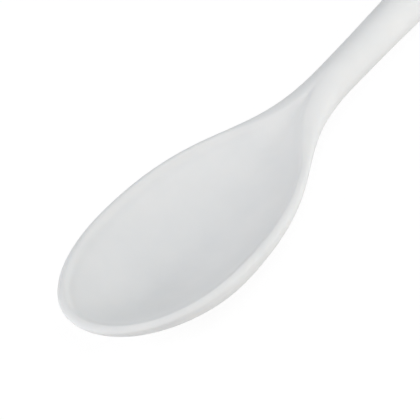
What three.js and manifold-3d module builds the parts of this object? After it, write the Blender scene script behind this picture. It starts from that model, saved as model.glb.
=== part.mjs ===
// Cooking spoon with a seamless silicone skin, moulded around a dished steel plate in the bowl and a steel
// rod in the handle. The rod's flattened tang is riveted to the plate's tongue inside the neck, and the rod
// ends in an eye that lines the hanging hole.
//
// Millimetres. The spoon lies on a table at z = 0, on the flat under its bowl and the heel of its handle.
// X runs from the tip of the bowl to the end of the handle, Y across the bowl, Z up.

import * as THREE from 'three';
import { mergeVertices } from 'three/addons/utils/BufferGeometryUtils.js';
import Module from 'manifold-3d';

const { lerp, smoothstep } = THREE.MathUtils;

// Plan of the spoon, measured along X from the tip of the bowl
const LENGTH = 300;
const BOWL_WIDTH = 60; // across the rim at its widest
const WIDEST_AT = 48;
const NECK_AT = 135; // narrowest part of the handle
const NECK_DIAMETER = 13.2;
const GRIP_DIAMETER = 18.7; // thickest part of the handle
const GRIP_FROM_END = 45;

// Roundness of the plan: how far each curve keeps its direction, as a share of the curve's own run
const TIP_BLUNTNESS = 0.51; // across the tip, of half the bowl's width
const SIDE_ROUNDNESS = 0.62; // along the side, from the widest part towards the tip
const SHOULDER_ROUNDNESS = 0.55; // from the widest part towards the neck
const NECK_ROUNDNESS = 0.42; // from the neck towards the bowl
const HANDLE_ROUNDNESS = 0.35; // both ends of the handle's swell
const END_ROUNDNESS = 0.85; // the handle's blunt end

// Heights above the table
const TIP_HEIGHT = 21.2; // middle of the rim's edge at the tip
const RIM_HEIGHT = 16.1; // the same at the widest part
const RIM_FALL = 0.065; // fall of the rim towards the handle there, per millimetre
const NECK_HEIGHT = 12; // the handle's axis at the neck
const BOWL_FLAT_DEPTH = 0.5; // cut from the round of the bowl to make the flat it lies on
const HEEL_FLAT_DEPTH = 0.3; // the same under the thickest part of the handle

// Section of the bowl
const WALL = 4.2; // silicone and plate together, on the centre line at the deepest part
const RIM_RUN = 2.15; // from the rim's edge in to the crest of its rounded bead
const RIM_RISE = 1.3; // height of the crest above the edge
const RIM_SHOULDER = 5.9; // from the crest to the steepest part of the hollow's own slope
const MOST_SHOULDER = 0.5; // share of a narrow hollow that this may take
const RIM_STEP = 1.7; // height that the bead stands above the hollow's own slope
const RIM_FOOT = 2.7; // width of that step
const TIP_FULLNESS = 0.74; // power of the underside's curve at the tip: 0.5 is an ellipse, 1 a parabola
const SIDE_FULLNESS = 0.45; // the same at the widest part
const NECK_FULLNESS = 0.5; // the same at the neck
const DEEPEST_FROM_TIP = 44; // where the bowl's spokes meet behind the tip
const END_FOCUS = 8.5; // where they meet before the handle's end
const FAN_REACH = 2.5; // length of each fan of spokes, as a multiple of its focus
const ROUNDS_AT = 92; // where the rim bead starts to widen into the round handle
const RISES_AT = 70; // where the floor of the hollow starts to rise into the neck
const HOLLOW_FROM_NECK = 9; // from the end of the hollow to the neck
const RISE_POWER = 1.5; // over 1 holds the rise back towards the hollow's end

// Plate in the bowl
const PLATE_THICKNESS = 1;
const PLATE_INSET = 8; // from the rim's edge to the plate's edge
const TONGUE_WIDTH = 8;
const TONGUE_BLEND = 24; // along the plate, from its dished part to the flat tongue
const FLOW_HOLE_DIAMETER = 7;
const FLOW_HOLE_PITCH = 17;
const FLOW_ROWS = 4;
const FLOW_FIRST_AT = 24;

// Rod in the handle
const ROD_DIAMETER = 6.4;
const TANG_WIDTH = 7.4;
const TANG_THICKNESS = 2;
const LAP_LENGTH = 26; // tang over tongue, ending at the neck
const ROD_BLEND = 14; // from flat to round
const TANG_SQUARENESS = 4; // power of the tang's rounded section: 2 is an ellipse
const ROD_SQUARENESS = 2;
const EYE_DIAMETER = 12.8;
const EYE_BORE = 8.4;
const EYE_THICKNESS = 3;

// Hanging hole through the silicone, a little wider than the eye's bore
const HANGING_HOLE = 9;
const HOLE_FROM_END = 17;

// Rivets through tang and tongue
const RIVET_DIAMETER = 3.2;
const RIVET_HEAD_DIAMETER = 5.6;
const RIVET_HEAD_HEIGHT = 1;
const RIVET_CROWN_DIAMETER = 3.4; // flat top of the bevelled head
const RIVET_PITCH = 11;

const CLEARANCE = 0.3; // between one piece and the next

// Facets
const TIP_STEPS = 18;
const SHOULDER_STEPS = 16;
const HANDLE_STEPS = 8;
const END_STEPS = 8;
const UNDER_STEPS = 7;
const BEAD_STEPS = 4;
const HOLLOW_STEPS = 8;
const HOLLOW_CROWDING = 1.7; // power that draws the hollow's facets towards the bead
const PLATE_STEPS = 26;
const PLATE_COLUMNS = 4;
const LAP_STEPS = 5;
const BLEND_STEPS = 6;
const ROD_STEPS = 6;
const ROD_SIDES = 16;
const ROUND_SIDES = 20;

const NECK_RADIUS = NECK_DIAMETER / 2;
const GRIP_RADIUS = GRIP_DIAMETER / 2;
const GRIP_AT = LENGTH - GRIP_FROM_END;
const GRIP_HEIGHT = GRIP_RADIUS - HEEL_FLAT_DEPTH;
const HANDLE_FALL = (NECK_HEIGHT - GRIP_HEIGHT) / (GRIP_AT - NECK_AT);
const HOLE_AT = LENGTH - HOLE_FROM_END;
const LAP_AT = NECK_AT - LAP_LENGTH;

const wasm = await Module();
wasm.setup();

const point = (x, y, z) => new THREE.Vector3(x, y, z);

// Edge of the spoon in plan and height, from the tip along one side to the end of the handle: four curves
// that run into each other
const outline = edgeCurves();
const CURVE_STEPS = [TIP_STEPS, SHOULDER_STEPS, HANDLE_STEPS, END_STEPS];

function edgeCurves() {
  const side = BOWL_WIDTH / 2;
  const toTip = SIDE_ROUNDNESS * WIDEST_AT;
  const toNeck = SHOULDER_ROUNDNESS * (NECK_AT - WIDEST_AT);
  const toBowl = NECK_ROUNDNESS * (NECK_AT - WIDEST_AT);
  const swell = HANDLE_ROUNDNESS * (GRIP_AT - NECK_AT);
  const tip = point(0, 0, TIP_HEIGHT);
  const widest = point(WIDEST_AT, side, RIM_HEIGHT);
  const neck = point(NECK_AT, NECK_RADIUS, NECK_HEIGHT);
  const grip = point(GRIP_AT, GRIP_RADIUS, GRIP_HEIGHT);
  const end = point(LENGTH, 0, GRIP_HEIGHT);
  return [
    new THREE.CubicBezierCurve3(
      tip,
      point(0, TIP_BLUNTNESS * side, TIP_HEIGHT),
      point(WIDEST_AT - toTip, side, RIM_HEIGHT + RIM_FALL * toTip),
      widest,
    ),
    new THREE.CubicBezierCurve3(
      widest,
      point(WIDEST_AT + toNeck, side, RIM_HEIGHT - RIM_FALL * toNeck),
      point(NECK_AT - toBowl, NECK_RADIUS, NECK_HEIGHT + HANDLE_FALL * toBowl),
      neck,
    ),
    new THREE.CubicBezierCurve3(
      neck,
      point(NECK_AT + swell, NECK_RADIUS, NECK_HEIGHT - HANDLE_FALL * swell),
      point(GRIP_AT - swell, GRIP_RADIUS, GRIP_HEIGHT + HANDLE_FALL * swell),
      grip,
    ),
    new THREE.CubicBezierCurve3(
      grip,
      point(GRIP_AT + END_ROUNDNESS * GRIP_FROM_END, GRIP_RADIUS, GRIP_HEIGHT),
      point(LENGTH, END_ROUNDNESS * GRIP_RADIUS, GRIP_HEIGHT),
      end,
    ),
  ];
}

// Edge point for a place along the outline: whole numbers are the ends of its curves
function edgeAt(place) {
  const curve = Math.min(Math.floor(place), outline.length - 1);
  return outline[curve].getPoint(place - curve);
}

// Place along the outline whose edge point has the given x
function placeAt(x) {
  let low = 0;
  let high = outline.length;
  while (high - low > 1e-9) {
    const middle = (low + high) / 2;
    if (edgeAt(middle).x < x) low = middle;
    else high = middle;
  }
  return low;
}

// Distance from an end of the spoon to the foot of a spoke: the spokes near the end fan out from a focus
function fanned(distance, focus) {
  const reach = FAN_REACH * focus;
  return distance < reach ? distance + focus * (1 - distance / reach) ** 2 : distance;
}

// Foot on the centre line of the spoke from the edge point at x
function footOf(x) {
  if (x < LENGTH / 2) return fanned(x, DEEPEST_FROM_TIP);
  return LENGTH - fanned(LENGTH - x, END_FOCUS);
}

// Underside of the spoon on its centre line, from the deepest part of the bowl to the neck
function keelAt(x) {
  const run = NECK_AT - DEEPEST_FROM_TIP;
  const t = (x - DEEPEST_FROM_TIP) / run;
  const start = -BOWL_FLAT_DEPTH;
  const end = NECK_HEIGHT - NECK_RADIUS;
  const before = end + (HANDLE_FALL * run) / 3;
  return start * (1 - t) ** 2 * (1 + 2 * t) + 3 * before * (1 - t) * t * t + end * t ** 3;
}

// Share of the hollow's depth that its floor has risen by on the centre line
function riseAt(x) {
  const run = NECK_AT - HOLLOW_FROM_NECK - RISES_AT;
  return smoothstep(Math.max((x - RISES_AT) / run, 0) ** RISE_POWER, 0, 1);
}

// Power of the underside's curve for the spoke from the edge point at x
function fullnessAt(x) {
  if (x < WIDEST_AT) return lerp(TIP_FULLNESS, SIDE_FULLNESS, smoothstep(x, 0, WIDEST_AT));
  return lerp(SIDE_FULLNESS, NECK_FULLNESS, smoothstep(x, WIDEST_AT, NECK_AT));
}

// One spoke: the upright section between the edge and the centre line. Heights are functions of the distance
// from the edge along the spoke.
function spokeAt(place) {
  const edge = edgeAt(place);
  const foot = footOf(edge.x);
  const span = Math.hypot(edge.x - foot, edge.y);
  const inBowl = edge.x < NECK_AT;
  const fade = smoothstep(edge.x, ROUNDS_AT, NECK_AT);
  const rise = riseAt(foot);
  const beadRun = lerp(RIM_RUN, span, fade);
  const beadRise = inBowl ? lerp(RIM_RISE, NECK_RADIUS, fade) : span;
  const crest = edge.z + beadRise;
  const keel = inBowl ? keelAt(foot) : edge.z - span;
  const floor = lerp(keel + WALL, crest, rise);
  const fullness = fullnessAt(edge.x);
  const step = RIM_STEP * (1 - rise);

  function under(run) {
    const share = Math.min(1 - run / span, 1);
    return edge.z - (edge.z - keel) * (1 - share * share) ** fullness;
  }

  function over(run) {
    if (run <= beadRun) return edge.z + beadRise * Math.sqrt(1 - (1 - run / beadRun) ** 2);
    const reach = span - beadRun;
    const share = Math.min((run - beadRun) / reach, 1);
    const bend = Math.min(RIM_SHOULDER / reach, MOST_SHOULDER);
    const past = (share - bend) / (1 - bend);
    const fallen = share < bend ? share ** 2 / (2 * bend) : bend / 2 + (1 - bend) * (past - past ** 3 / 3);
    const slope = fallen / (bend / 2 + ((1 - bend) * 2) / 3);
    return crest - step * smoothstep(run - beadRun, 0, RIM_FOOT) - (crest - floor - step) * slope;
  }

  function at(run, z) {
    const share = run / span;
    return point(lerp(edge.x, foot, share), edge.y * (1 - share), z);
  }

  return { edge, span, fade, beadRun, under, over, at };
}

// Half of a spoke's outer section, from the centre line below, round the edge, to the centre line above
function sectionOf(spoke) {
  const { span, fade, beadRun, under, over, at } = spoke;
  const points = [];
  for (let i = 0; i <= UNDER_STEPS; i++) {
    const run = span * (1 - Math.sin((Math.PI / 2) * (i / UNDER_STEPS)));
    points.push(at(run, under(run)));
  }
  const steps = BEAD_STEPS + HOLLOW_STEPS;
  for (let i = 1; i <= steps; i++) {
    const rounded = span * (1 - Math.cos((Math.PI / 2) * (i / steps)));
    const beaded =
      i <= BEAD_STEPS
        ? beadRun * (1 - Math.cos((Math.PI / 2) * (i / BEAD_STEPS)))
        : lerp(beadRun, span, ((i - BEAD_STEPS) / HOLLOW_STEPS) ** HOLLOW_CROWDING);
    const run = lerp(beaded, rounded, fade);
    points.push(at(run, over(run)));
  }
  return points;
}

// A closed surface gathered from four-sided faces, each with its mirror image across the centre plane
class MirroredSurface {
  corners = [];

  quad(a, b, c, d) {
    for (const corner of [a, b, c, a, c, d]) this.corners.push(corner.x, corner.y, corner.z);
  }

  pair(a, b, c, d) {
    const [e, f, g, h] = [a, b, c, d].map((corner) => point(corner.x, -corner.y, corner.z));
    this.quad(a, b, c, d);
    this.quad(h, g, f, e);
  }

  geometry() {
    const made = new THREE.BufferGeometry();
    made.setAttribute('position', new THREE.Float32BufferAttribute(this.corners, 3));
    return made;
  }
}

// Solids for joining and cutting, and back
function solidOf(geometry) {
  const bare = geometry.index ? geometry.toNonIndexed() : geometry.clone();
  bare.deleteAttribute('normal');
  bare.deleteAttribute('uv');
  const merged = mergeVertices(bare);
  return new wasm.Manifold(
    new wasm.Mesh({
      numProp: 3,
      vertProperties: merged.attributes.position.array,
      triVerts: new Uint32Array(merged.index.array),
    }),
  );
}

function geometryOf(solid) {
  const mesh = solid.getMesh();
  const made = new THREE.BufferGeometry();
  made.setAttribute('position', new THREE.Float32BufferAttribute(mesh.vertProperties, 3));
  made.setIndex(new THREE.Uint32BufferAttribute(mesh.triVerts, 1));
  made.computeVertexNormals();
  return made;
}

function uprightCylinder(x, y, z, diameter, height) {
  const geometry = new THREE.CylinderGeometry(diameter / 2, diameter / 2, height, ROUND_SIDES);
  return solidOf(geometry.rotateX(Math.PI / 2).translate(x, y, z));
}

// Slab that trims the spoon flat where it lies on the table
function tableSlab() {
  const thickness = BOWL_WIDTH;
  const slab = new THREE.BoxGeometry(2 * LENGTH, 2 * BOWL_WIDTH, thickness);
  return solidOf(slab.translate(0, 0, -thickness / 2));
}

// Outer form of the spoon, without any hollow inside
function outerForm() {
  const places = [0];
  CURVE_STEPS.forEach((steps, curve) => {
    for (let i = 1; i <= steps; i++) places.push(curve + i / steps);
  });
  const sections = places.map((place) => sectionOf(spokeAt(place)));
  const surface = new MirroredSurface();
  for (let i = 1; i < sections.length; i++) {
    const [near, far] = [sections[i - 1], sections[i]];
    for (let j = 1; j < near.length; j++) surface.pair(near[j - 1], near[j], far[j], far[j - 1]);
  }
  return solidOf(surface.geometry()).subtract(tableSlab());
}

// Middle of the wall at a point of a spoke, above the flat that the spoon lies on
const middleOf = (spoke, run) => (Math.max(spoke.under(run), 0) + spoke.over(run)) / 2;

function middleAt(x) {
  const spoke = spokeAt(placeAt(x));
  return middleOf(spoke, spoke.span);
}

// Height of the plate at a point of a spoke: in the middle of the bowl's wall, and flat across the tongue
function plateHeight(spoke, run) {
  const flat = smoothstep(spoke.edge.x, LAP_AT - TONGUE_BLEND, LAP_AT);
  return lerp(middleOf(spoke, run), middleOf(spoke, spoke.span), flat);
}

// Half width of the plate along a spoke: inset from the rim, and never narrower than the tongue
const plateReach = (spoke) => Math.max(spoke.span - PLATE_INSET, TONGUE_WIDTH / 2);

// Plate with its tongue; grown makes the room for it in the silicone
function plateForm(grown) {
  const half = PLATE_THICKNESS / 2 + grown;
  const lastPlace = placeAt(NECK_AT + grown);
  const rows = [];
  for (let i = 0; i <= PLATE_STEPS; i++) {
    const spoke = spokeAt((lastPlace * i) / PLATE_STEPS);
    const reach = plateReach(spoke) + grown;
    const row = [];
    for (let k = 0; k <= PLATE_COLUMNS; k++) {
      const run = spoke.span - reach * (1 - k / PLATE_COLUMNS);
      const z = plateHeight(spoke, run);
      row.push({ top: spoke.at(run, z + half), bottom: spoke.at(run, z - half) });
    }
    rows.push(row);
  }
  const surface = new MirroredSurface();
  for (let i = 1; i < rows.length; i++) {
    const [near, far] = [rows[i - 1], rows[i]];
    for (let k = 1; k < near.length; k++) {
      surface.pair(near[k - 1].top, near[k].top, far[k].top, far[k - 1].top);
      surface.pair(far[k - 1].bottom, far[k].bottom, near[k].bottom, near[k - 1].bottom);
    }
    surface.pair(near[0].bottom, near[0].top, far[0].top, far[0].bottom);
  }
  const last = rows[rows.length - 1];
  for (let k = 1; k < last.length; k++) {
    surface.pair(last[k - 1].bottom, last[k - 1].top, last[k].top, last[k].bottom);
  }
  let plate = solidOf(surface.geometry());
  for (const hole of flowHoles()) {
    const cut = uprightCylinder(hole.x, hole.y, hole.z, FLOW_HOLE_DIAMETER - 2 * grown, BOWL_WIDTH);
    plate = plate.subtract(cut);
  }
  return plate;
}

// Flow holes in two rows, half way between the centre line and the plate's edge
function flowHoles() {
  const holes = [];
  for (let row = 0; row < FLOW_ROWS; row++) {
    const spoke = spokeAt(placeAt(FLOW_FIRST_AT + row * FLOW_HOLE_PITCH));
    const run = spoke.span - plateReach(spoke) / 2;
    const place = spoke.at(run, plateHeight(spoke, run));
    holes.push(place, point(place.x, -place.y, place.z));
  }
  return holes;
}

// Rod with its tang in front and its eye behind
function rodForm(grown) {
  const eyeRadius = EYE_DIAMETER / 2;
  const first = LAP_AT - grown;
  const last = HOLE_AT - (eyeRadius + EYE_BORE / 2) / 2;
  const roundFrom = NECK_AT + ROD_BLEND;
  const flatFrom = HOLE_AT - eyeRadius - ROD_BLEND;
  const tangLift = (PLATE_THICKNESS + TANG_THICKNESS) / 2 + CLEARANCE;
  const stations = [
    ...evenly(first, NECK_AT, LAP_STEPS),
    ...evenly(NECK_AT, roundFrom, BLEND_STEPS),
    ...evenly(roundFrom, flatFrom, ROD_STEPS),
    ...evenly(flatFrom, last, BLEND_STEPS),
    last,
  ];
  const rings = stations.map((x) => {
    const round = smoothstep(x, NECK_AT, roundFrom);
    const flat = smoothstep(x, flatFrom, last);
    const width = lerp(TANG_WIDTH, ROD_DIAMETER, round) + 2 * grown;
    const front = lerp(TANG_THICKNESS, ROD_DIAMETER, round);
    const height = lerp(front, EYE_THICKNESS, flat) + 2 * grown;
    const power = 2 / lerp(TANG_SQUARENESS, ROD_SQUARENESS, round);
    const lift = tangLift * (1 - round);
    return ovalRing(x, middleAt(x) + lift, width, height, power);
  });
  const eye = ringForm(EYE_BORE, EYE_DIAMETER + 2 * grown, EYE_THICKNESS + 2 * grown);
  return solidOf(loftOf(rings)).add(solidOf(eye.translate(HOLE_AT, 0, GRIP_HEIGHT)));
}

// Starts of equal steps from one value towards another
const evenly = (from, to, steps) => Array.from({ length: steps }, (_, i) => lerp(from, to, i / steps));

// Points round an oval section across the spoon
function ovalRing(x, z, width, height, power) {
  const points = [];
  const rounded = (value) => Math.sign(value) * Math.abs(value) ** power;
  for (let i = 0; i < ROD_SIDES; i++) {
    const angle = ((i + 0.5) * 2 * Math.PI) / ROD_SIDES;
    const across = (rounded(Math.cos(angle)) * width) / 2;
    const up = (rounded(Math.sin(angle)) * height) / 2;
    points.push(point(x, across, z + up));
  }
  return points;
}

// Closed tube through rings of points
function loftOf(rings) {
  const corners = [];
  const face = (...points) => points.forEach((p) => corners.push(p.x, p.y, p.z));
  const sides = rings[0].length;
  for (let j = 0; j < sides; j++) {
    const next = (j + 1) % sides;
    for (let i = 1; i < rings.length; i++) {
      const [near, far] = [rings[i - 1], rings[i]];
      face(near[j], near[next], far[next]);
      face(near[j], far[next], far[j]);
    }
  }
  const [start, end] = [rings[0], rings[rings.length - 1]];
  for (let j = 2; j < sides; j++) {
    face(start[0], start[j], start[j - 1]);
    face(end[0], end[j - 1], end[j]);
  }
  const made = new THREE.BufferGeometry();
  made.setAttribute('position', new THREE.Float32BufferAttribute(corners, 3));
  return made;
}

// Flat ring with an upright axis
function ringForm(bore, diameter, thickness) {
  const [inner, outer, half] = [bore / 2, diameter / 2, thickness / 2];
  const profile = [
    new THREE.Vector2(inner, -half),
    new THREE.Vector2(outer, -half),
    new THREE.Vector2(outer, half),
    new THREE.Vector2(inner, half),
    new THREE.Vector2(inner, -half),
  ];
  return new THREE.LatheGeometry(profile, ROUND_SIDES).rotateX(Math.PI / 2);
}

// Rivet on its own axis, with z = 0 at the middle of the plate's tongue
function rivetForm(grown) {
  const shank = RIVET_DIAMETER / 2 + grown;
  const head = RIVET_HEAD_DIAMETER / 2 + grown;
  const below = -PLATE_THICKNESS / 2 - CLEARANCE + grown;
  const above = PLATE_THICKNESS / 2 + 2 * CLEARANCE + TANG_THICKNESS - grown;
  const height = RIVET_HEAD_HEIGHT + 2 * grown;
  const crown = RIVET_CROWN_DIAMETER / 2 + grown;
  const profile = [
    new THREE.Vector2(0, below - height),
    new THREE.Vector2(crown, below - height),
    new THREE.Vector2(head, below - height / 2),
    new THREE.Vector2(head, below),
    new THREE.Vector2(shank, below),
    new THREE.Vector2(shank, above),
    new THREE.Vector2(head, above),
    new THREE.Vector2(head, above + height / 2),
    new THREE.Vector2(crown, above + height),
    new THREE.Vector2(0, above + height),
  ];
  return new THREE.LatheGeometry(profile, ROUND_SIDES).rotateX(Math.PI / 2);
}

// Places of the rivets, evenly about the middle of the lap and square to the plate there
const rivetPlaces = [-RIVET_PITCH / 2, RIVET_PITCH / 2].map((offset) => {
  const x = LAP_AT + LAP_LENGTH / 2 + offset;
  const slope = (middleAt(x + RIVET_DIAMETER) - middleAt(x - RIVET_DIAMETER)) / (2 * RIVET_DIAMETER);
  return { position: point(x, 0, middleAt(x)), tilt: -Math.atan(slope) };
});

function rivetSolid(place, form) {
  const geometry = form.rotateY(place.tilt);
  return solidOf(geometry.translate(place.position.x, place.position.y, place.position.z));
}

// Straight hole for a rivet's shank through tang and tongue
function rivetHole(place) {
  const diameter = RIVET_DIAMETER + 2 * CLEARANCE;
  const geometry = new THREE.CylinderGeometry(diameter / 2, diameter / 2, NECK_DIAMETER, ROUND_SIDES);
  return rivetSolid(place, geometry.rotateX(Math.PI / 2));
}

function siliconeSkin() {
  const hole = uprightCylinder(HOLE_AT, 0, GRIP_HEIGHT, HANGING_HOLE, 2 * GRIP_DIAMETER);
  let room = plateForm(CLEARANCE).add(rodForm(CLEARANCE));
  for (const place of rivetPlaces) room = room.add(rivetSolid(place, rivetForm(CLEARANCE)));
  return outerForm().subtract(room).subtract(hole);
}

function drilled(solid) {
  return rivetPlaces.reduce((left, place) => left.subtract(rivetHole(place)), solid);
}

const silicone = () => new THREE.MeshStandardMaterial({ color: 0xe6e7e6, roughness: 0.5, metalness: 0 });
const steel = () => new THREE.MeshStandardMaterial({ color: 0xb4b7ba, roughness: 0.35, metalness: 1 });

function addPiece(parent, name, solid, material) {
  const mesh = new THREE.Mesh(geometryOf(solid), material);
  mesh.name = name;
  parent.add(mesh);
}

const spoon = new THREE.Group();
spoon.name = 'silicone_spoon';
const fromTip = new THREE.Group();
fromTip.position.x = -LENGTH / 2;
spoon.add(fromTip);

addPiece(fromTip, 'silicone_skin', siliconeSkin(), silicone());
addPiece(fromTip, 'bowl_plate', drilled(plateForm(0)), steel());
addPiece(fromTip, 'handle_rod', drilled(rodForm(0)), steel());
addPiece(fromTip, 'tang_rivet_front', rivetSolid(rivetPlaces[0], rivetForm(0)), steel());
addPiece(fromTip, 'tang_rivet_rear', rivetSolid(rivetPlaces[1], rivetForm(0)), steel());

export default spoon;
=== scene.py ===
"""Looks of the silicone cooking spoon: a fine silicone skin over its steel core, on a pale table.

Metres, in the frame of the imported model: X from the tip of the bowl to the end of the handle, Y across the
bowl, Z up from the table. Places along the spoon are measured from the tip.
"""

import math
from types import SimpleNamespace

import bpy
import numpy as np
from mathutils import Matrix, Vector
from mathutils.bvhtree import BVHTree


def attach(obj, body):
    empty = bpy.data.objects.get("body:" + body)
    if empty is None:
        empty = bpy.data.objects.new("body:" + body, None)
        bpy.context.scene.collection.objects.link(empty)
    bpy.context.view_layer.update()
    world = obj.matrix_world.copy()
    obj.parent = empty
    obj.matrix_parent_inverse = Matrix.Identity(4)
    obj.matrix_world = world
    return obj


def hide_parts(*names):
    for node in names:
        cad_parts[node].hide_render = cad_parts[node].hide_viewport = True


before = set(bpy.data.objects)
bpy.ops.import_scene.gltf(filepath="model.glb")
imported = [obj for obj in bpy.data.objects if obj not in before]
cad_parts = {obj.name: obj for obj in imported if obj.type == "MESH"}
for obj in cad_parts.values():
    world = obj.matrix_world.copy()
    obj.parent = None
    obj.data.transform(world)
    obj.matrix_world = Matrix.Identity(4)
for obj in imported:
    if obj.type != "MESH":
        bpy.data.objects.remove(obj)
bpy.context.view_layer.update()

MM = 0.001
UP = Vector((0, 0, 1))

# Plan of the spoon
LENGTH = 300 * MM
BOWL_WIDTH = 60 * MM  # across the rim at its widest
WIDEST_AT = 48 * MM
NECK_AT = 135 * MM  # narrowest part of the handle
NECK_DIAMETER = 13.2 * MM
GRIP_DIAMETER = 18.7 * MM  # thickest part of the handle
GRIP_FROM_END = 45 * MM

# Roundness of the plan: how far each curve keeps its direction, as a share of the curve's own run
TIP_BLUNTNESS = 0.51  # across the tip, of half the bowl's width
SIDE_ROUNDNESS = 0.62  # along the side, from the widest part towards the tip
SHOULDER_ROUNDNESS = 0.55  # from the widest part towards the neck
NECK_ROUNDNESS = 0.42  # from the neck towards the bowl
HANDLE_ROUNDNESS = 0.35  # both ends of the handle's swell
END_ROUNDNESS = 0.85  # the handle's blunt end

# Heights above the table
TIP_HEIGHT = 21.2 * MM  # middle of the rim's edge at the tip
RIM_HEIGHT = 16.1 * MM  # the same at the widest part
RIM_FALL = 0.065  # fall of the rim towards the handle there, as a slope
NECK_HEIGHT = 12 * MM  # the handle's axis at the neck
BOWL_FLAT_DEPTH = 0.5 * MM  # cut from the round of the bowl to make the flat it lies on
HEEL_FLAT_DEPTH = 0.3 * MM  # the same under the thickest part of the handle

# Section of the bowl
WALL = 4.2 * MM  # on the centre line at the deepest part
RIM_RUN = 2.15 * MM  # from the rim's edge in to the crest of its rounded bead
RIM_RISE = 1.3 * MM  # height of the crest above the edge
RIM_SHOULDER = 5.9 * MM  # from the crest to the steepest part of the hollow's own slope
MOST_SHOULDER = 0.5  # share of a narrow hollow that this may take
RIM_STEP = 1.7 * MM  # height that the bead stands above the hollow's own slope
RIM_FOOT = 2.7 * MM  # width of that step
TIP_FULLNESS = 0.74  # power of the underside's curve at the tip: 0.5 is an ellipse, 1 a parabola
SIDE_FULLNESS = 0.45  # the same at the widest part
NECK_FULLNESS = 0.5  # the same at the neck
DEEPEST_FROM_TIP = 44 * MM  # where the bowl's spokes meet behind the tip
END_FOCUS = 8.5 * MM  # where they meet before the handle's end
FAN_REACH = 2.5  # length of each fan of spokes, as a multiple of its focus
ROUNDS_AT = 92 * MM  # where the rim bead starts to widen into the round handle
RISES_AT = 70 * MM  # where the floor of the hollow starts to rise into the neck
HOLLOW_FROM_NECK = 9 * MM  # from the end of the hollow to the neck
RISE_POWER = 1.5  # over 1 holds the rise back towards the hollow's end
LEAST_REACH = 0.001 * MM  # stands for no hollow on the handle, where the bead takes the whole spoke

# Hanging hole
HANGING_HOLE = 9 * MM
HOLE_FROM_END = 17 * MM
HOLE_ROUND = 1.3 * MM  # radius of its rounded edges

# Facets of the skin
TIP_STEPS = 48
SHOULDER_STEPS = 56
HANDLE_STEPS = 44
END_STEPS = 40
UNDER_STEPS = 26
BEAD_STEPS = 12
HOLLOW_STEPS = 26
HOLLOW_CROWDING = 1.5  # power that draws the hollow's facets towards the bead
HOLE_SIDES = 96
HOLE_ROUND_STEPS = 8

# White silicone. A noise is its scale and its detail, a shade the noise value where it is full and its
# colour, and bumps are their strength and their height.
SILICONE_BODY = {
    "Subsurface Weight": 0.2,
    "Subsurface Radius": (1.0, 0.9, 0.8),
    "Subsurface Scale": 3 * MM,
    "IOR": 1.42,
    "Specular IOR Level": 0.2,
}
SILICONE_CLOUDS = (60, 4)
SILICONE_SHADES = ((0.35, (0.80, 0.805, 0.805)), (0.65, (0.83, 0.83, 0.825)))
SILICONE_HAZE = (150, 5)
SILICONE_ROUGHNESS = (0.44, 0.56)
SILICONE_GRAIN = (2500, 3)
SILICONE_BUMPS = (0.06, 0.1 * MM)

# Brushed steel, with its strokes along the spoon
STEEL_BODY = {"Metallic": 1}
STEEL_STRETCH = (60, 3000, 3000)
STEEL_STROKES = (1, 4)
STEEL_SHADES = ((0, (0.52, 0.53, 0.55)), (1, (0.70, 0.71, 0.72)))
STEEL_ROUGHNESS = (0.25, 0.45)
STEEL_BUMPS = (0.1, 0.05 * MM)

# Table: its colour as it lights the spoon, its glow to the camera and in reflections, and the diffuse share
# added to that glow, which takes the shadow
TABLE_HALF_WIDTH = 4.0
TABLE_COLOUR = (0.8, 0.8, 0.8)
TABLE_GLOW = 0.9
TABLE_SHADE = 0.14

# Camera, fitted to the outline of the spoon in the picture
PICTURE_SIZE = 420  # pixels
CAMERA_BEARING = 50.47  # degrees in plan, of the line of sight, from +X towards +Y
CAMERA_ELEVATION = 44.86  # degrees
CAMERA_ROLL = -16.89  # degrees that the right of the camera is turned up from level
CAMERA_DISTANCE = 900 * MM
CAMERA_AIM = Vector((-83.016, 2.547, 10)) * MM
CAMERA_FOCUS = 2728.5  # focal length in pixels
SENSOR_WIDTH = 36  # millimetres

# Soft round lamps, far off or close beside the handle. Each has its angle from the line of sight, its turn
# round that line (0 is the right of the picture, 90 its top), its power and its colour.
FAR = SimpleNamespace(aim=CAMERA_AIM, distance=1.2, size=0.8)
BESIDE = SimpleNamespace(aim=Vector((20, 0, 12)) * MM, distance=0.45, size=0.3)
LAMPS = {
    "left": (FAR, 62, 180, 7.1, (0.97, 0.98, 1.0)),
    "right": (FAR, 35, 0, 1.2, (0.96, 0.98, 1.0)),
    "high": (FAR, 35, 90, 2.6, (0.96, 0.98, 1.0)),
    "low": (FAR, 35, 270, 2.4, (1.0, 0.93, 0.89)),
    "behind": (FAR, 85, 45, 4.0, (0.92, 0.97, 1.0)),
    "handle_side": (BESIDE, 62, 10, 0.57, (1.0, 0.95, 0.88)),
}
SKY_STRENGTH = 0.28
SKY_COLOUR = (0.97, 0.985, 1.0)

NECK_RADIUS = NECK_DIAMETER / 2
GRIP_RADIUS = GRIP_DIAMETER / 2
GRIP_AT = LENGTH - GRIP_FROM_END
GRIP_HEIGHT = GRIP_RADIUS - HEEL_FLAT_DEPTH
HANDLE_FALL = (NECK_HEIGHT - GRIP_HEIGHT) / (GRIP_AT - NECK_AT)
HOLE_AT = LENGTH - HOLE_FROM_END
TIP_X = -LENGTH / 2


def lerp(start, end, share):
    return start + (end - start) * share


def smoothstep(value, low, high):
    share = np.clip((value - low) / (high - low), 0, 1)
    return share * share * (3 - 2 * share)


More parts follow.
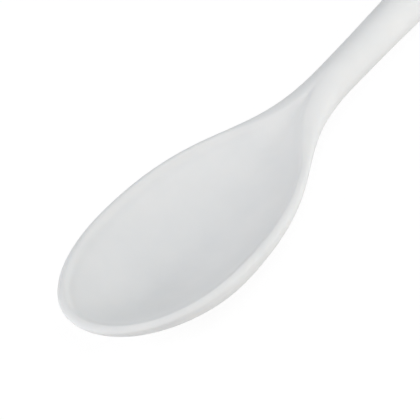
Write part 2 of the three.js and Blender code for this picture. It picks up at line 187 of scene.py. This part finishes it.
def edge_points():
    """Edge of the spoon in plan and height, from the tip along one side to the end of the handle."""
    side = BOWL_WIDTH / 2
    to_tip = SIDE_ROUNDNESS * WIDEST_AT
    to_neck = SHOULDER_ROUNDNESS * (NECK_AT - WIDEST_AT)
    to_bowl = NECK_ROUNDNESS * (NECK_AT - WIDEST_AT)
    swell = HANDLE_ROUNDNESS * (GRIP_AT - NECK_AT)
    tip = (0, 0, TIP_HEIGHT)
    widest = (WIDEST_AT, side, RIM_HEIGHT)
    neck = (NECK_AT, NECK_RADIUS, NECK_HEIGHT)
    grip = (GRIP_AT, GRIP_RADIUS, GRIP_HEIGHT)
    end = (LENGTH, 0, GRIP_HEIGHT)
    curves = [
        (tip, (0, TIP_BLUNTNESS * side, TIP_HEIGHT),
         (WIDEST_AT - to_tip, side, RIM_HEIGHT + RIM_FALL * to_tip), widest, TIP_STEPS),
        (widest, (WIDEST_AT + to_neck, side, RIM_HEIGHT - RIM_FALL * to_neck),
         (NECK_AT - to_bowl, NECK_RADIUS, NECK_HEIGHT + HANDLE_FALL * to_bowl), neck, SHOULDER_STEPS),
        (neck, (NECK_AT + swell, NECK_RADIUS, NECK_HEIGHT - HANDLE_FALL * swell),
         (GRIP_AT - swell, GRIP_RADIUS, GRIP_HEIGHT + HANDLE_FALL * swell), grip, HANDLE_STEPS),
        (grip, (GRIP_AT + END_ROUNDNESS * GRIP_FROM_END, GRIP_RADIUS, GRIP_HEIGHT),
         (LENGTH, END_ROUNDNESS * GRIP_RADIUS, GRIP_HEIGHT), end, END_STEPS),
    ]
    points = [np.array([tip])]
    for *corners, steps in curves:
        t = np.linspace(0, 1, steps + 1)[1:, None]
        shares = ((1 - t) ** 3, 3 * (1 - t) ** 2 * t, 3 * (1 - t) * t * t, t ** 3)
        points.append(sum(share * np.array(corner) for share, corner in zip(shares, corners)))
    return np.vstack(points)


def fanned(distance, focus):
    """Distance from an end of the spoon to the foot of a spoke, with the spokes fanned out from a focus."""
    reach = FAN_REACH * focus
    return np.where(distance < reach, distance + focus * (1 - distance / reach) ** 2, distance)


def keel_at(x):
    """Underside of the spoon on its centre line, from the deepest part of the bowl to the neck."""
    run = NECK_AT - DEEPEST_FROM_TIP
    t = (x - DEEPEST_FROM_TIP) / run
    end = NECK_HEIGHT - NECK_RADIUS
    before = end + HANDLE_FALL * run / 3
    return -BOWL_FLAT_DEPTH * (1 - t) ** 2 * (1 + 2 * t) + 3 * before * (1 - t) * t * t + end * t ** 3


def rise_at(x):
    """Share of the hollow's depth that its floor has risen by on the centre line."""
    run = NECK_AT - HOLLOW_FROM_NECK - RISES_AT
    return smoothstep(np.maximum((x - RISES_AT) / run, 0) ** RISE_POWER, 0, 1)


def fullness_at(x):
    """Power of the underside's curve for the spoke from the edge point at x."""
    front = lerp(TIP_FULLNESS, SIDE_FULLNESS, smoothstep(x, 0, WIDEST_AT))
    return lerp(front, NECK_FULLNESS, smoothstep(x, WIDEST_AT, NECK_AT))


def spokes_of(edge):
    """The upright sections between the edge and the centre line, one for each edge point."""
    x, y, z = edge.T
    foot = np.where(x < LENGTH / 2, fanned(x, DEEPEST_FROM_TIP), LENGTH - fanned(LENGTH - x, END_FOCUS))
    span = np.hypot(x - foot, y)
    in_bowl = x < NECK_AT
    fade = smoothstep(x, ROUNDS_AT, NECK_AT)
    rise = rise_at(foot)
    crest = z + np.where(in_bowl, lerp(RIM_RISE, NECK_RADIUS, fade), span)
    keel = np.where(in_bowl, keel_at(foot), z - span)
    return SimpleNamespace(
        x=x, y=y, z=z, foot=foot, span=span, fade=fade, crest=crest, keel=keel,
        bead=lerp(RIM_RUN, span, fade),
        floor=lerp(keel + WALL, crest, rise),
        fullness=fullness_at(x),
        step=RIM_STEP * (1 - rise),
    )


def under(spokes, run):
    """Height of the underside at a distance from the edge along each spoke."""
    share = np.minimum(1 - run / spokes.span, 1)
    return spokes.z - (spokes.z - spokes.keel) * (1 - share * share) ** spokes.fullness


def over(spokes, run):
    """Height of the upper side: the round of the bead, then the slope of the hollow."""
    on_bead = np.clip(1 - run / spokes.bead, 0, 1)
    bead = lerp(spokes.z, spokes.crest, np.sqrt(1 - on_bead ** 2))
    reach = np.maximum(spokes.span - spokes.bead, LEAST_REACH)
    share = np.clip((run - spokes.bead) / reach, 0, 1)
    bend = np.minimum(RIM_SHOULDER / reach, MOST_SHOULDER)
    past = (share - bend) / (1 - bend)
    fallen = np.where(share < bend, share ** 2 / (2 * bend), bend / 2 + (1 - bend) * (past - past ** 3 / 3))
    slope = fallen / (bend / 2 + (1 - bend) * 2 / 3)
    flank = smoothstep(run - spokes.bead, 0, RIM_FOOT)
    depth = spokes.crest - spokes.floor
    hollow = spokes.crest - spokes.step * flank - (depth - spokes.step) * slope
    return np.where(run <= spokes.bead, bead, hollow)


def section_columns(spokes):
    """Half sections from the centre line below, round the edge, to the centre line above."""
    section = []
    for i in range(UNDER_STEPS + 1):
        run = spokes.span * (1 - math.sin(math.pi / 2 * i / UNDER_STEPS))
        section.append((run, np.maximum(under(spokes, run), 0)))
    steps = BEAD_STEPS + HOLLOW_STEPS
    for i in range(1, steps + 1):
        rounded = spokes.span * (1 - math.cos(math.pi / 2 * i / steps))
        if i <= BEAD_STEPS:
            beaded = spokes.bead * (1 - math.cos(math.pi / 2 * i / BEAD_STEPS))
        else:
            beaded = lerp(spokes.bead, spokes.span, ((i - BEAD_STEPS) / HOLLOW_STEPS) ** HOLLOW_CROWDING)
        run = lerp(beaded, rounded, spokes.fade)
        section.append((run, over(spokes, run)))
    columns = []
    for run, height in section:
        share = run / spokes.span
        along = TIP_X + lerp(spokes.x, spokes.foot, share)
        columns.append(np.stack([along, spokes.y * (1 - share), height], 1))
    return np.stack(columns, 1)


def new_piece(name, vertices, faces):
    mesh = bpy.data.meshes.new(name)
    mesh.from_pydata([tuple(v) for v in vertices], [], faces)
    mesh.validate()
    piece = bpy.data.objects.new(name, mesh)
    bpy.context.scene.collection.objects.link(piece)
    return piece


def skin_form():
    """Outer form of the spoon: the half sections and their mirror images, joined on the centre plane."""
    grid = section_columns(spokes_of(edge_points()))
    rows, columns = grid.shape[:2]
    grid[[0, -1], :, 1] = 0
    grid[:, [0, -1], 1] = 0
    here = np.arange(rows * columns).reshape(rows, columns)
    inner = np.zeros((rows, columns), bool)
    inner[1:-1, 1:-1] = True
    there = here.copy()
    there[inner] = here.size + np.arange(inner.sum())
    faces = []
    for i in range(1, rows):
        for j in range(1, columns):
            faces.append((here[i - 1, j - 1], here[i - 1, j], here[i, j], here[i, j - 1]))
            faces.append((there[i, j - 1], there[i, j], there[i - 1, j], there[i - 1, j - 1]))
    vertices = np.vstack([grid.reshape(-1, 3), grid[inner] * (1, -1, 1)])
    return new_piece("spoon_skin", vertices, faces)


def hole_flare(tree, outward, direction):
    """Side of the hole's cutter at one end: it meets the skin in a round edge and runs on clear of it."""
    centre = Vector((TIP_X + HOLE_AT, 0, GRIP_HEIGHT))
    clear = GRIP_DIAMETER
    flare = []
    for step in range(HOLE_ROUND_STEPS + 1):
        turn = math.pi / 2 * step / HOLE_ROUND_STEPS
        reach = HANGING_HOLE / 2 + HOLE_ROUND * (1 - math.cos(turn))
        point = tree.ray_cast(centre + outward * reach - direction * clear, direction)[0]
        flare.append(point + direction * HOLE_ROUND * (1 - math.sin(turn)))
    flare.append(flare[-1] - direction * clear)
    return flare


def hole_cutter(skin):
    """Upright cutter for the hanging hole, flared so that its edges round over into the skin."""
    tree = BVHTree.FromObject(skin, bpy.context.evaluated_depsgraph_get())
    sides = []
    for side in range(HOLE_SIDES):
        angle = 2 * math.pi * side / HOLE_SIDES
        outward = Vector((math.cos(angle), math.sin(angle), 0))
        sides.append(hole_flare(tree, outward, UP)[::-1] + hole_flare(tree, outward, -UP))
    size = len(sides[0])
    faces = []
    for side in range(HOLE_SIDES):
        near = side * size
        far = (side + 1) % HOLE_SIDES * size
        for i in range(size - 1):
            faces.append((near + i, far + i, far + i + 1, near + i + 1))
    faces.append([side * size for side in range(HOLE_SIDES)][::-1])
    faces.append([side * size + size - 1 for side in range(HOLE_SIDES)])
    return new_piece("hole_cutter", [point for side in sides for point in side], faces)


def silicone_skin():
    """Skin with its hanging hole, and without the room for the steel core inside it."""
    skin = skin_form()
    cutter = hole_cutter(skin)
    cut = skin.modifiers.new("hanging_hole", "BOOLEAN")
    cut.operation = "DIFFERENCE"
    cut.solver = "EXACT"
    cut.object = cutter
    shaped = bpy.data.meshes.new_from_object(skin.evaluated_get(bpy.context.evaluated_depsgraph_get()))
    skin.modifiers.clear()
    skin.data = shaped
    bpy.data.objects.remove(cutter)
    shaped.shade_smooth()
    return skin


def new_material(name):
    material = bpy.data.materials.new(name)
    material.use_nodes = True
    return material


def set_inputs(node, values):
    for name, value in values.items():
        node.inputs[name].default_value = value


def noise_over(tree, where, scale, detail):
    """Grey value of a noise over the given coordinates."""
    noise = tree.nodes.new("ShaderNodeTexNoise")
    set_inputs(noise, {"Scale": scale, "Detail": detail})
    tree.links.new(where, noise.inputs["Vector"])
    return noise.outputs["Fac"]


def vary_colour(tree, shader, noise, shades):
    ramp = tree.nodes.new("ShaderNodeValToRGB")
    for stop, (position, colour) in zip(ramp.color_ramp.elements, shades):
        stop.position = position
        stop.color = (*colour, 1)
    tree.links.new(noise, ramp.inputs["Fac"])
    tree.links.new(ramp.outputs["Color"], shader.inputs["Base Color"])


def vary_roughness(tree, shader, noise, least, most):
    spread = tree.nodes.new("ShaderNodeMapRange")
    set_inputs(spread, {"To Min": least, "To Max": most})
    tree.links.new(noise, spread.inputs["Value"])
    tree.links.new(spread.outputs["Result"], shader.inputs["Roughness"])


def add_bumps(tree, shader, noise, strength, height):
    bumps = tree.nodes.new("ShaderNodeBump")
    set_inputs(bumps, {"Strength": strength, "Distance": height})
    tree.links.new(noise, bumps.inputs["Height"])
    tree.links.new(bumps.outputs["Normal"], shader.inputs["Normal"])


def silicone_material():
    """Satin white silicone with faint clouds in its colour and gloss, and a fine grain."""
    material = new_material("white_silicone")
    tree = material.node_tree
    shader = tree.nodes["Principled BSDF"]
    set_inputs(shader, SILICONE_BODY)
    where = tree.nodes.new("ShaderNodeTexCoord").outputs["Object"]
    vary_colour(tree, shader, noise_over(tree, where, *SILICONE_CLOUDS), SILICONE_SHADES)
    vary_roughness(tree, shader, noise_over(tree, where, *SILICONE_HAZE), *SILICONE_ROUGHNESS)
    add_bumps(tree, shader, noise_over(tree, where, *SILICONE_GRAIN), *SILICONE_BUMPS)
    return material


def steel_material():
    """Brushed steel: one stretched noise gives its strokes in colour, gloss and relief."""
    material = new_material("brushed_steel")
    tree = material.node_tree
    shader = tree.nodes["Principled BSDF"]
    set_inputs(shader, STEEL_BODY)
    stretch = tree.nodes.new("ShaderNodeMapping")
    set_inputs(stretch, {"Scale": STEEL_STRETCH})
    where = tree.nodes.new("ShaderNodeTexCoord").outputs["Object"]
    tree.links.new(where, stretch.inputs["Vector"])
    strokes = noise_over(tree, stretch.outputs["Vector"], *STEEL_STROKES)
    vary_colour(tree, shader, strokes, STEEL_SHADES)
    vary_roughness(tree, shader, strokes, *STEEL_ROUGHNESS)
    add_bumps(tree, shader, strokes, *STEEL_BUMPS)
    return material


def table_material():
    """Pale table: white to the camera and in reflections, with the spoon's shadow left in it."""
    material = new_material("pale_table")
    nodes = material.node_tree.nodes
    links = material.node_tree.links
    nodes.clear()
    pale = nodes.new("ShaderNodeBsdfDiffuse")
    pale.inputs["Color"].default_value = (*TABLE_COLOUR, 1)
    glow = nodes.new("ShaderNodeEmission")
    glow.inputs["Strength"].default_value = TABLE_GLOW
    shade = nodes.new("ShaderNodeBsdfDiffuse")
    shade.inputs["Color"].default_value = (TABLE_SHADE, TABLE_SHADE, TABLE_SHADE, 1)
    white = nodes.new("ShaderNodeAddShader")
    links.new(glow.outputs["Emission"], white.inputs[0])
    links.new(shade.outputs["BSDF"], white.inputs[1])
    path = nodes.new("ShaderNodeLightPath")
    seen = path.outputs["Is Camera Ray"]
    for ray in ("Is Glossy Ray", "Is Transmission Ray"):
        either = nodes.new("ShaderNodeMath")
        either.operation = "MAXIMUM"
        links.new(seen, either.inputs[0])
        links.new(path.outputs[ray], either.inputs[1])
        seen = either.outputs["Value"]
    mix = nodes.new("ShaderNodeMixShader")
    links.new(seen, mix.inputs["Fac"])
    links.new(pale.outputs["BSDF"], mix.inputs[1])
    links.new(white.outputs["Shader"], mix.inputs[2])
    output = nodes.new("ShaderNodeOutputMaterial")
    links.new(mix.outputs["Shader"], output.inputs["Surface"])
    return material


def add_table():
    half = TABLE_HALF_WIDTH
    corners = [(-half, -half, 0), (half, -half, 0), (half, half, 0), (-half, half, 0)]
    table = new_piece("table", corners, [(0, 1, 2, 3)])
    table.data.materials.append(table_material())


def add_camera():
    bearing = math.pi + math.radians(CAMERA_BEARING)
    tilt = math.radians(CAMERA_ELEVATION)
    roll = math.radians(CAMERA_ROLL)
    right = Vector((-math.sin(bearing), math.cos(bearing), 0))
    back = Vector((math.cos(tilt) * math.cos(bearing), math.cos(tilt) * math.sin(bearing), math.sin(tilt)))
    up = back.cross(right)
    turned_right = right * math.cos(roll) + up * math.sin(roll)
    turned_up = up * math.cos(roll) - right * math.sin(roll)
    turn = Matrix((turned_right, turned_up, back)).transposed().to_4x4()
    camera = bpy.data.objects.new("camera", bpy.data.cameras.new("camera"))
    bpy.context.scene.collection.objects.link(camera)
    camera.matrix_world = Matrix.Translation(CAMERA_AIM + back * CAMERA_DISTANCE) @ turn
    camera.data.sensor_width = SENSOR_WIDTH
    camera.data.lens = SENSOR_WIDTH * CAMERA_FOCUS / PICTURE_SIZE
    bpy.context.scene.camera = camera
    return camera


def add_lamp(name, place, aim, size, power, colour):
    lamp = bpy.data.objects.new(name, bpy.data.lights.new(name, "AREA"))
    lamp.data.shape = "DISK"
    lamp.data.size = size
    lamp.data.energy = power
    lamp.data.color = colour
    lamp.location = place
    lamp.rotation_mode = "QUATERNION"
    lamp.rotation_quaternion = (aim - place).to_track_quat("-Z", "Y")
    bpy.context.scene.collection.objects.link(lamp)


def add_light(camera):
    """Even sky, and the lamps placed round the camera's line of sight."""
    world = bpy.data.worlds.new("studio")
    bpy.context.scene.world = world
    world.use_nodes = True
    sky = world.node_tree.nodes["Background"]
    set_inputs(sky, {"Color": (*SKY_COLOUR, 1), "Strength": SKY_STRENGTH})
    view = camera.matrix_world.to_3x3()
    for name, (post, degrees_off, degrees_round, power, colour) in LAMPS.items():
        off = math.radians(degrees_off)
        around = math.radians(degrees_round)
        across = Vector((math.cos(around), math.sin(around), 0)) * math.sin(off)
        place = post.aim + view @ (across + Vector((0, 0, math.cos(off)))) * post.distance
        add_lamp(name, place, post.aim, post.size, power, colour)


skin = silicone_skin()
skin.data.materials.append(silicone_material())
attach(skin, "root")
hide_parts("silicone_skin")

steel = steel_material()
for name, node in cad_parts.items():
    if name != "silicone_skin":
        node.data.materials.clear()
        node.data.materials.append(steel)

add_table()
camera = add_camera()
add_light(camera)
bpy.context.scene.view_settings.view_transform = "Standard"
